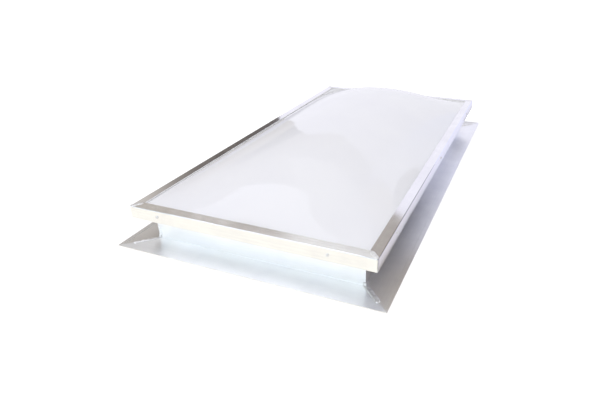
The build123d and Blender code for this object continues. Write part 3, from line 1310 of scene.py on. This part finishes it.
STUDIO_CARDS = (
    # White paper behind the object, with an arched top that the dome's skin mirrors
    ReflectorCard(
        "backdrop_paper",
        Axis.Y,
        1.5,
        (
            (-1.19, 0.0),
            (0.42, 0.0),
            (0.42, 1.38),
            (0.2, 1.33),
            (0.03, 1.29),
            (-0.17, 1.24),
            (-0.37, 1.12),
            (-0.77, 1.02),
            (-0.9, 0.99),
            (-1.0, 0.92),
            (-1.13, 0.66),
            (-1.17, 0.42),
            (-1.18, 0.13),
        ),
        Fade(Axis.Z, 0.0, 1.0, ((0.0, "#F6F5FF"), (1.0, "#F3F2FF"))),
        1.06,
    ),
    # The paper goes on to the right, cooler low down, for the right rail and flange
    ReflectorCard(
        "backdrop_paper_right",
        Axis.Y,
        1.5,
        ((0.42, 0.0), (4.0, 0.0), (4.0, 2.5), (0.95, 2.5), (0.42, 1.36)),
        Fade(Axis.Z, 0.3, 1.15, ((0.0, "#CFD4F2"), (1.0, "#EEF0FF"))),
        1.3,
    ),
    # Warm paper at the right, for the right side seen from low down
    ReflectorCard("side_paper_right", Axis.X, 4.0, oblong(-2.5, 1.5, 0.0, 2.5), "#E4E2DC", 1.15),
    # A grey room over the paper, which shows in the front band, the left rail and the dome round the arch
    ReflectorCard(
        "room_above",
        Axis.Y,
        1.6,
        ((-4.5, 0.0), (0.95, 0.0), (4.0, 2.5), (4.0, 4.5), (-4.5, 4.5)),
        Fade(Axis.X, 0.5, -3.0, ((0.0, "#B0AAA8"), (1.0, "#C0B8B0"))),
    ),
    # White high up at the back, for the near end of the dome
    ReflectorCard("ceiling_light", Axis.Y, 1.58, oblong(-1.4, 4.0, 2.05, 4.5), "#FFFFFF"),
    # The dark stretches of the left rail
    ReflectorCard(
        "dark_panel_left",
        Axis.Y,
        1.55,
        ((-3.0, 1.18), (-0.95, 0.3), (-0.95, 0.75), (-3.0, 1.65)),
        Fade(Axis.X, -2.75, -1.15, ((0.0, "#CFCAC6"), (0.35, "#837D7A"), (0.6, "#65605E"), (1.0, "#6E6968"))),
    ),
    # The tan near end of the right rail
    ReflectorCard(
        "dark_panel_right",
        Axis.Y,
        1.46,
        ((0.55, 1.37), (0.75, 1.2), (2.6, 1.2), (2.6, 2.0), (0.55, 2.0)),
        "#D6C6AE",
    ),
    # The thin dark line along the right rail's rounded edge
    ReflectorCard(
        "dark_strip_right",
        Axis.Y,
        1.45,
        (
            (0.74, 0.8),
            (0.9, 0.55),
            (1.04, 0.28),
            (1.06, 0.12),
            (2.1, 0.12),
            (2.1, 0.7),
            (1.75, 1.1),
            (1.3, 1.5),
            (0.97, 1.5),
            (0.75, 1.0),
        ),
        "#1C1A1A",
    ),
    # A painted shadow of the object on the floor beside the right skirt, seen only in reflections: grey in
    # front and cool and pale to the back
    ReflectorCard(
        "floor_shade_right",
        Axis.Z,
        0.001,
        oblong(0.362, 2.5, -0.75, 3.0),
        Fade(Axis.Y, -0.75, 0.9, ((0.0, "#CFC9CD"), (0.3, "#DDDAE6"), (0.55, "#E6E5FA"), (1.0, "#E8E8FA"))),
        1.08,
    ),
    # The lower half of the line along the right rail's edge
    ReflectorCard(
        "floor_strip_right",
        Axis.Z,
        0.002,
        ((0.78, -0.4), (1.9, -0.4), (1.9, 1.45), (1.1, 1.45), (0.78, 0.8)),
        "#1C1A1A",
    ),
    # A cool window in front, which the drawn lines spread over the front wall
    ReflectorCard("window_front", Axis.Y, -3.2, oblong(-4.7, 0.6, 1.1, 4.0), "#EAF6FF", 2.25),
    # A flag that keeps the window off the rails and the dome where they are seen from behind
    ReflectorCard(
        "flag_front",
        Axis.Y,
        -0.72,
        oblong(-2.0, 0.5, 0.2, 1.4),
        Fade(Axis.Z, 0.2, 1.2, ((0.0, "#B4B4B8"), (1.0, "#D0D0D4"))),
    ),
    # The rest of the room in pale greys, darker towards the floor
    ReflectorCard(
        "room_front",
        Axis.Y,
        -3.4,
        oblong(-5.0, 5.0, 0.0, 4.5),
        Fade(Axis.Z, 0.5, 3.5, ((0.0, "#C8C8CA"), (1.0, "#E8E8EA"))),
    ),
    ReflectorCard(
        "room_left",
        Axis.X,
        -4.8,
        oblong(-3.4, 3.5, 0.0, 4.5),
        Fade(Axis.Z, 0.3, 3.0, ((0.0, "#A9A9AB"), (1.0, "#D4D4D6"))),
    ),
    ReflectorCard("room_ceiling", Axis.Z, 4.6, oblong(-5.0, 5.0, -3.5, 3.5), "#E2E2E6"),
    # A bright softbox under the ceiling, which the drawn lines spread over the front flange
    ReflectorCard("softbox_above", Axis.Z, 4.55, oblong(-3.75, -1.0, -3.4, 1.4), "#E2E4EE", 3.5),
)


@dataclass
class Studio:
    """A white paper floor, soft light from all round and above, and cards that the bright metal mirrors."""

    floor_size: float = 30.0
    paper: str = "#F2F2F2"
    # The paper is lit this much for the eye, so that it comes out white with the shadow kept
    eye_lift: str = "#A8A8A8"
    # In reflections the floor glows with painted light and shade: a warm painted pool of light in front of
    # the object and a painted grey shade beside it, standing for its shadow
    mirrored: Fade = Fade(Axis.Y, -0.75, -0.35, ((0.0, "#FFFCF4"), (1.0, "#BDBDC6")))
    mirrored_strength: float = 1.14
    sky: str = "#FBFBFF"
    sky_strength: float = 0.8
    background: str = "#FFFFFF"
    softbox_watts: float = 105.0
    softbox_size: float = 4.0
    softbox_place: tuple[float, float, float] = (-1.6, -2.2, 6.6)
    softbox_aim: tuple[float, float, float] = (0.0, 0.0, 0.1)

    def build_floor(self) -> None:
        """Lay the paper floor: white to the eye with the object's shadow kept, and in reflections a glow with
        painted light in front of the object and painted shade beside it.
        """
        material, tree, place = new_material("white_paper_floor")
        path = add_node(tree, "ShaderNodeLightPath").outputs
        seen = add_node(
            tree,
            "ShaderNodeMath",
            {"operation": "ADD", "use_clamp": True},
            {0: path["Is Camera Ray"], 1: path["Is Transmission Ray"]},
        ).outputs["Value"]
        # What metal mirrors: the floor's painted light and painted shade as a glow, with no real shadow in it
        shown = add_node(
            tree,
            "ShaderNodeEmission",
            {"Strength": self.mirrored_strength},
            {"Color": self.mirrored.colour(tree, place)},
        ).outputs["Emission"]
        paper = add_node(
            tree,
            "ShaderNodeBsdfPrincipled",
            {
                "Base Color": linear(self.paper),
                "Roughness": 0.9,
                "Specular IOR Level": 0.0,
                "Emission Color": linear(self.eye_lift),
            },
            {"Emission Strength": seen},
        ).outputs["BSDF"]
        mixed = add_node(
            tree, "ShaderNodeMixShader", links={0: path["Is Glossy Ray"], 1: paper, 2: shown}
        ).outputs["Shader"]
        add_node(tree, "ShaderNodeOutputMaterial", links={"Surface": mixed})
        half = self.floor_size / 2
        mesh = bpy.data.meshes.new("paper_floor")
        mesh.from_pydata([(x, y, 0.0) for x, y in oblong(-half, half, -half, half)], [], [(0, 1, 2, 3)])
        mesh.materials.append(material)
        floor = bpy.data.objects.new("paper_floor", mesh)
        bpy.context.scene.collection.objects.link(floor)

    def build_world(self) -> None:
        """Make the world white to the eye and in reflections, and a soft even light otherwise."""
        world = bpy.data.worlds.new("white_room")
        world.use_nodes = True
        tree = world.node_tree
        tree.nodes.clear()
        path = add_node(tree, "ShaderNodeLightPath").outputs
        eye_or_mirror = add_node(
            tree,
            "ShaderNodeMath",
            {"operation": "ADD"},
            {0: path["Is Camera Ray"], 1: path["Is Glossy Ray"]},
        ).outputs["Value"]
        seen = add_node(
            tree,
            "ShaderNodeMath",
            {"operation": "ADD", "use_clamp": True},
            {0: eye_or_mirror, 1: path["Is Transmission Ray"]},
        ).outputs["Value"]
        soft = add_node(
            tree, "ShaderNodeBackground", {"Color": linear(self.sky), "Strength": self.sky_strength}
        ).outputs["Background"]
        white = add_node(
            tree, "ShaderNodeBackground", {"Color": linear(self.background), "Strength": 1.0}
        ).outputs["Background"]
        mixed = add_node(tree, "ShaderNodeMixShader", links={0: seen, 1: soft, 2: white}).outputs["Shader"]
        add_node(tree, "ShaderNodeOutputWorld", links={"Surface": mixed})
        bpy.context.scene.world = world

    def build_softbox(self) -> None:
        """Hang one large soft lamp high up at the front left, aimed at the object."""
        data = bpy.data.lights.new("softbox", "AREA")
        data.shape = "SQUARE"
        data.size = self.softbox_size
        data.energy = self.softbox_watts
        lamp = bpy.data.objects.new("softbox", data)
        lamp.location = self.softbox_place
        aim = Vector(self.softbox_aim) - Vector(self.softbox_place)
        lamp.rotation_euler = aim.to_track_quat("-Z", "Y").to_euler()
        lamp.visible_camera = False
        lamp.visible_glossy = False
        bpy.context.scene.collection.objects.link(lamp)

    def build(self) -> None:
        """Set up the whole stage."""
        self.build_floor()
        self.build_world()
        self.build_softbox()
        for card in STUDIO_CARDS:
            card.build()
        bpy.context.scene.view_settings.view_transform = "Standard"


def main() -> None:
    """Build and dress the sub-assemblies in order, then the stage."""
    logging.basicConfig(level=logging.INFO, format="%(name)s: %(message)s")
    curb_lengths = (
        MillAluminium(
            "curb",
            Run.ALONG_X,
            smooth=0.16,
            rough=0.22,
            bright="#FBFBFA",
            dull="#F3F3F4",
            directional=1.0,
            level_wear=0.15,
        ),
        MillAluminium("curb", Run.ALONG_Y, smooth=0.28, rough=0.32, directional=1.0),
    )
    cap_lengths = (
        MillAluminium("cap", Run.ALONG_X, smooth=0.13, rough=0.2, directional=1.0),
        MillAluminium("cap", Run.ALONG_Y, smooth=0.07, rough=0.15),
    )
    curb_metal = {finish.run: finish.material() for finish in curb_lengths}
    cap_metal = {finish.run: finish.material() for finish in cap_lengths}
    weld = WeldedAluminium("aluminium_weld_as_laid", smooth=0.26, rough=0.42).material()
    linished_weld = WeldedAluminium("aluminium_weld_linished", smooth=0.34, rough=0.48).material()
    rubber = GlazingStrip(
        "white_rubber_extruded", "#FAFAF8", "#F4F4F1", cell_mm=4.0, cell_depth_mm=0.05, roughness=0.45
    ).material()
    foam = GlazingStrip(
        "black_foam_tape_closed_cell", "#1B1B1C", "#303031", cell_mm=0.9, cell_depth_mm=0.25, roughness=0.85
    ).material()
    Curb().build(weld, curb_metal)
    for side in Side:
        dress_node(f"bedding_tape_{side.label}", foam)
    Dome().build(OpalAcrylic().material())
    CapFrame().build(linished_weld, cap_metal, rubber, ZincPlatedSteel().material())
    Camera().build()
    Studio().build()


if __name__ == "__main__":
    main()
